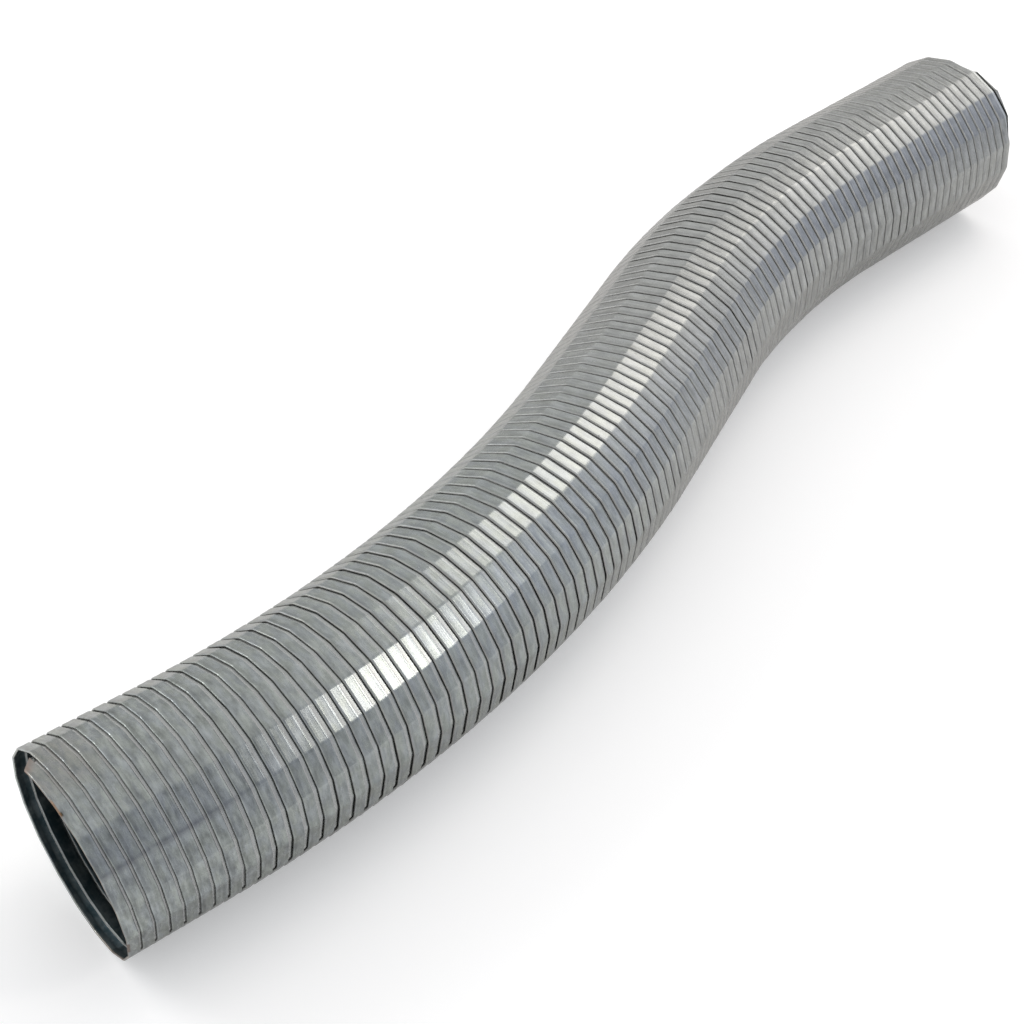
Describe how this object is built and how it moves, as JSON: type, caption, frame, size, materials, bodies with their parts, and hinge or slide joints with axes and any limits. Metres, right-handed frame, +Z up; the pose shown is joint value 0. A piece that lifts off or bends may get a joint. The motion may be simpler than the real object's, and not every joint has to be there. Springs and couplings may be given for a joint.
{
  "type": "flexible exhaust duct",
  "caption": "Flexible metal duct wound from one folded steel strip on a many-sided former, open at both ends and lying in a shallow S.",
  "frame": {"origin": "on the floor, under the middle of the duct's box", "axes": "+X along the duct's length and along its near run's axis, pointing into the duct from the near end; +Z up from the floor"},
  "size_m": [0.9876, 0.3616, 0.133],
  "materials": {
    "galvanised_steel": "dull zinc coating, lightly mottled"
  },
  "bodies": {
    "root": {"wound_duct": "galvanised_steel"}
  },
  "joints": []
}
